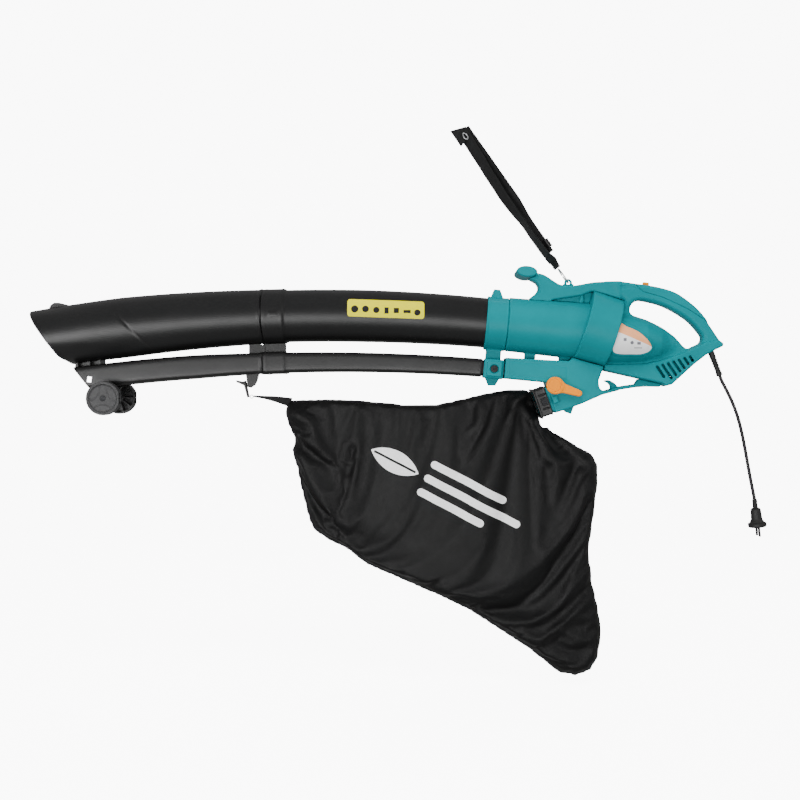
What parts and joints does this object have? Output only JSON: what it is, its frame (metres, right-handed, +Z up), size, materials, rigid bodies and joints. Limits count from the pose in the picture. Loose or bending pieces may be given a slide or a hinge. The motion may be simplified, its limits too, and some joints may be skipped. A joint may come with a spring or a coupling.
{
  "type": "leaf blower",
  "caption": "Electric garden blower and vacuum: curved suction tube over a blow duct on wheels, motor housing with loop handle, collecting bag, shoulder strap and power cord.",
  "frame": {"origin": "middle of the rear hand grip, where the machine is held", "axes": "+X from the nozzle to the power cord, +Y away from the mode lever's side, +Z up"},
  "size_m": [1.4654, 0.146, 1.0982],
  "materials": {
    "black_plastic": "moulded black plastic, fine grain",
    "teal_plastic": "moulded teal plastic, satin",
    "inner_plastic": "dark glass-filled plastic",
    "wheel_plastic": "dark grey plastic",
    "orange_plastic": "moulded orange plastic",
    "rubber": "soft black rubber",
    "steel": "plain steel",
    "copper": "copper",
    "lamination": "steel laminations",
    "bag_fabric": "woven black nylon",
    "webbing": "woven black webbing",
    "yellow_label": "printed yellow film",
    "white_label": "printed white film"
  },
  "bodies": {
    "machine": {"rear_suction_tube": "black_plastic", "front_suction_tube": "black_plastic", "rear_blow_duct": "black_plastic", "front_blow_duct": "black_plastic", "tube_collar": "teal_plastic", "collar_screw_left": "inner_plastic", "collar_screw_right": "inner_plastic", "intake_duct": "teal_plastic", "fan_drum": "teal_plastic", "housing_left": "teal_plastic", "housing_right": "teal_plastic", "grip_cover": "teal_plastic", "front_grip": "teal_plastic", "diverter_case_left": "teal_plastic", "diverter_case_right": "teal_plastic", "housing_screw_1": "steel", "housing_screw_2": "steel", "housing_screw_3": "steel", "housing_screw_4": "steel", "housing_screw_5": "steel", "housing_screw_6": "steel", "stator_core": "lamination", "field_coil_left": "copper", "field_coil_right": "copper", "front_bearing": "steel", "rear_bearing": "steel", "motor_plate": "inner_plastic", "brush_holder_left": "inner_plastic", "brush_holder_right": "inner_plastic", "power_switch": "inner_plastic", "axle": "steel", "strain_relief": "rubber", "power_cord": "rubber", "plug": "rubber", "warning_label": "yellow_label", "rating_label": "white_label"},
    "fan_rotor": {"impeller": "inner_plastic", "impeller_nut": "steel", "motor_shaft": "steel", "armature_core": "lamination", "commutator": "copper"},
    "selector": {"mode_lever": "orange_plastic", "flap_spindle": "steel", "flow_flap": "inner_plastic"},
    "slider": {"power_slider": "orange_plastic"},
    "left_wheel": {"wheel_left": "wheel_plastic"},
    "right_wheel": {"wheel_right": "wheel_plastic"},
    "hook": {"snap_hook": "steel", "strap_webbing": "webbing"},
    "hook_gate": {"snap_gate": "steel"},
    "length_slide": {"strap_slide": "black_plastic"},
    "bag": {"bag_collar": "black_plastic", "bag_fabric": "bag_fabric", "bag_tab": "webbing", "bag_ring": "steel", "bag_hook": "black_plastic"},
    "left_latch": {"bag_latch_left": "inner_plastic"},
    "right_latch": {"bag_latch_right": "inner_plastic"}
  },
  "joints": [
    {"name": "fan_spin", "type": "hinge", "parent": "machine", "child": "fan_rotor", "pos_m": [-0.1715, 0, -0.051], "axis": [0.9553, 0, -0.2957], "continuous": true},
    {"name": "mode_select", "type": "hinge", "parent": "machine", "child": "selector", "pos_m": [-0.231, 0, -0.171], "axis": [0, 1, 0], "range_deg": [-105, 0]},
    {"name": "power_slide", "type": "slide", "parent": "machine", "child": "slider", "axis": [-0.9877, 0, 0.1564], "range_m": [0, 0.006]},
    {"name": "left_wheel_spin", "type": "hinge", "parent": "machine", "child": "left_wheel", "pos_m": [-1.111, 0, -0.196], "axis": [0, 1, 0], "continuous": true},
    {"name": "right_wheel_spin", "type": "hinge", "parent": "machine", "child": "right_wheel", "pos_m": [-1.111, 0, -0.196], "axis": [0, 1, 0], "continuous": true},
    {"name": "strap_swing", "type": "hinge", "parent": "machine", "child": "hook", "pos_m": [-0.2, 0, 0.034], "axis": [0, 1, 0], "range_deg": [-15, 60]},
    {"name": "gate_open", "type": "hinge", "parent": "hook", "child": "hook_gate", "pos_m": [-0.21859, 0.0038, 0.06055], "axis": [-0.8192, 0, -0.5736], "range_deg": [0, 25], "stiffness_Nm_per_rad": 0.01},
    {"name": "strap_adjust", "type": "slide", "parent": "hook", "child": "length_slide", "axis": [-0.5736, 0, 0.8192], "range_m": [-0.008, 0.045]},
    {"name": "bag_remove", "type": "slide", "parent": "machine", "child": "bag", "axis": [-0.9432, 0, -0.3322], "range_m": [0, 0.045]},
    {"name": "left_latch_press", "type": "slide", "parent": "bag", "child": "left_latch", "axis": [0, 1, 0], "range_m": [0, 0.003], "stiffness_N_per_m": 800},
    {"name": "right_latch_press", "type": "slide", "parent": "bag", "child": "right_latch", "axis": [0, -1, 0], "range_m": [0, 0.003], "stiffness_N_per_m": 800}
  ]
}
